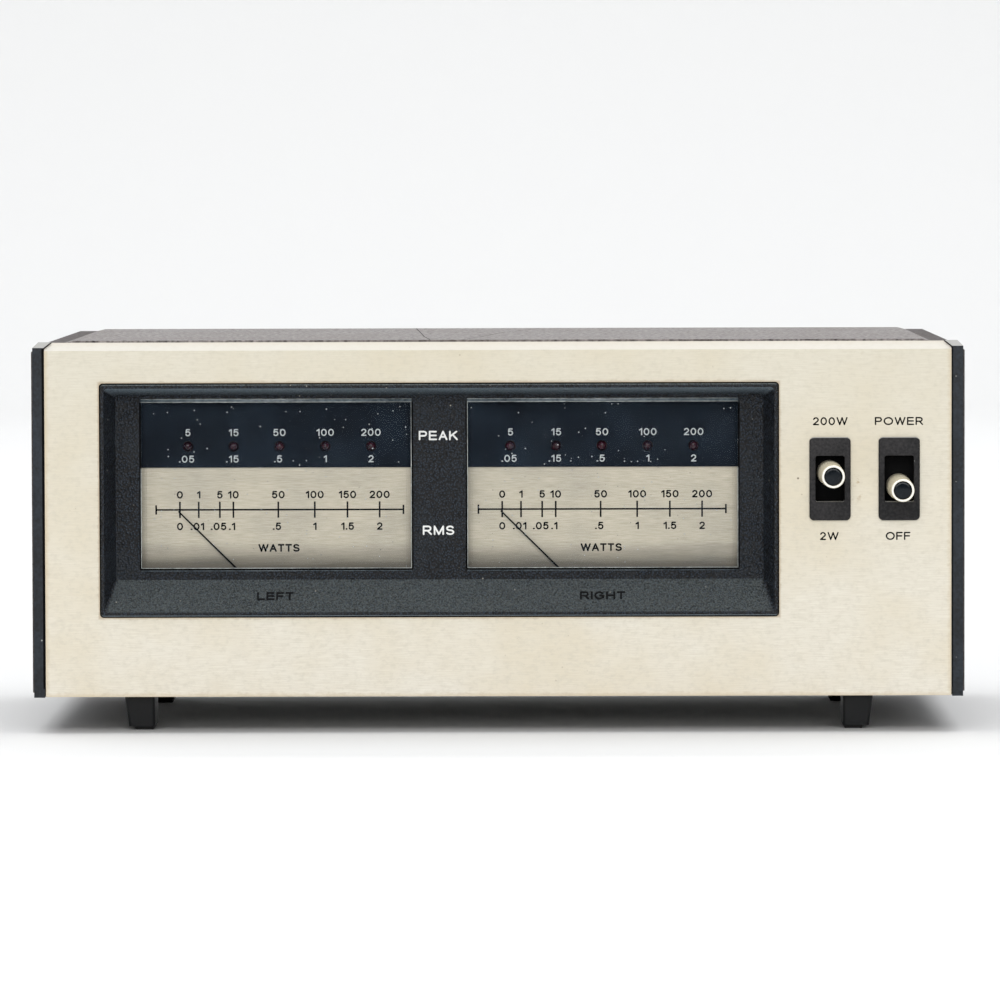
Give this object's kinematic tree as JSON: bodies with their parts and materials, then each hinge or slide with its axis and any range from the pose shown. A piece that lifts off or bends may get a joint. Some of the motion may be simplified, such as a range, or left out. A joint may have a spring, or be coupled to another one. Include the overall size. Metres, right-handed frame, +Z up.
{
  "type": "stereo power meter",
  "caption": "Table-top audio power meter: wide low case, black bezel with pointer dials and peak lamp rows, two slide switches, tapered feet.",
  "frame": {"origin": "on the floor, under the middle of the whole object's box", "axes": "+X to the right along the front panel, +Y from the front panel to the rear, +Z up"},
  "size_m": [0.2814, 0.17, 0.1185],
  "materials": {
    "panel_aluminium": "brushed and anodised a warm cream, stained at the edges",
    "cap_plastic": "smooth moulded black plastic",
    "cover_vinyl": "grained dark vinyl on steel sheet",
    "zinc_steel": "zinc-plated sheet",
    "foot_plastic": "moulded black plastic",
    "foot_rubber": "moulded black rubber",
    "screw_steel": "zinc-plated screw",
    "bezel_plastic": "moulded black plastic with a pebbled grain",
    "clear_acrylic": "clear moulded acrylic",
    "dial_aluminium": "brushed silver with a printed scale",
    "mask_print": "black printed strip with white figures",
    "lamp_epoxy": "red tinted epoxy lens",
    "case_styrene": "moulded off-white plastic",
    "magnet_iron": "sintered magnet and soft iron",
    "bridge_brass": "stamped brass",
    "spring_bronze": "phosphor bronze strip",
    "pointer_enamel": "black enamel on aluminium",
    "staff_steel": "ground steel",
    "coil_copper": "enamelled copper wire",
    "knob_ivory": "ivory moulded plastic",
    "knob_black": "polished black plastic",
    "switch_plastic": "moulded black plastic",
    "slider_fibre": "black vulcanised fibre, matt",
    "switch_steel": "plated steel housing",
    "board_phenolic": "brown phenolic paper board",
    "lamination_steel": "varnished steel stack",
    "winding_tape": "yellow polyester tape",
    "capacitor_sleeve": "blue shrink sleeve",
    "chip_epoxy": "black epoxy",
    "resistor_lacquer": "tan lacquer",
    "wire_vinyl": "red vinyl insulation",
    "strip_phenolic": "black moulded phenolic",
    "terminal_nickel": "nickel-plated brass",
    "gland_rubber": "black rubber bush"
  },
  "bodies": {
    "case": {"front_panel": "panel_aluminium", "end_cap_left": "cap_plastic", "end_cap_right": "cap_plastic", "top_cover": "cover_vinyl", "chassis_pan": "zinc_steel", "backing_plate": "zinc_steel", "rear_panel": "zinc_steel", "foot_front_left": "foot_plastic", "foot_front_right": "foot_plastic", "foot_rear_left": "foot_plastic", "foot_rear_right": "foot_plastic", "foot_pads": "foot_rubber", "foot_screws": "screw_steel", "panel_screws": "screw_steel", "meter_bezel": "bezel_plastic", "lamp_board": "board_phenolic", "peak_lamps": "lamp_epoxy", "range_switch_plate": "switch_plastic", "range_switch_body": "switch_steel", "power_switch_plate": "switch_plastic", "power_switch_body": "switch_steel", "main_board": "board_phenolic", "board_standoffs": "bridge_brass", "transformer_core": "lamination_steel", "transformer_winding": "winding_tape", "filter_capacitors": "capacitor_sleeve", "driver_chips": "chip_epoxy", "resistors": "resistor_lacquer", "wiring": "wire_vinyl", "terminal_strip": "strip_phenolic", "terminal_screws": "terminal_nickel", "cord_gland": "gland_rubber", "lens_left": "clear_acrylic", "dial_plate_left": "dial_aluminium", "lamp_mask_left": "mask_print", "meter_case_left": "case_styrene", "magnet_yoke_left": "magnet_iron", "magnet_core_left": "magnet_iron", "jewel_bridges_left": "bridge_brass", "hairspring_left": "spring_bronze", "lens_right": "clear_acrylic", "dial_plate_right": "dial_aluminium", "lamp_mask_right": "mask_print", "meter_case_right": "case_styrene", "magnet_yoke_right": "magnet_iron", "magnet_core_right": "magnet_iron", "jewel_bridges_right": "bridge_brass", "hairspring_right": "spring_bronze"},
    "pointer_left": {"needle_left": "pointer_enamel", "pivot_staffs_left": "staff_steel", "moving_coil_left": "coil_copper"},
    "pointer_right": {"needle_right": "pointer_enamel", "pivot_staffs_right": "staff_steel", "moving_coil_right": "coil_copper"},
    "range_switch": {"range_slider": "slider_fibre", "range_knob_sleeve": "knob_ivory", "range_knob_insert": "knob_black"},
    "power_switch": {"power_slider": "slider_fibre", "power_knob_sleeve": "knob_ivory", "power_knob_insert": "knob_black"}
  },
  "joints": [
    {"name": "left_pointer_swing", "type": "hinge", "parent": "case", "child": "pointer_left", "pos_m": [-0.06615, -0.06425, 0.0363], "axis": [0, 1, 0], "range_deg": [-6, 97], "stiffness_Nm_per_rad": 0.00002},
    {"name": "right_pointer_swing", "type": "hinge", "parent": "case", "child": "pointer_right", "pos_m": [0.0314, -0.06425, 0.0363], "axis": [0, 1, 0], "range_deg": [-6, 97], "stiffness_Nm_per_rad": 0.00002},
    {"name": "range_slide", "type": "slide", "parent": "case", "child": "range_switch", "axis": [0, 0, 1], "range_m": [-0.004, 0]},
    {"name": "power_slide", "type": "slide", "parent": "case", "child": "power_switch", "axis": [0, 0, 1], "range_m": [0, 0.004]}
  ]
}
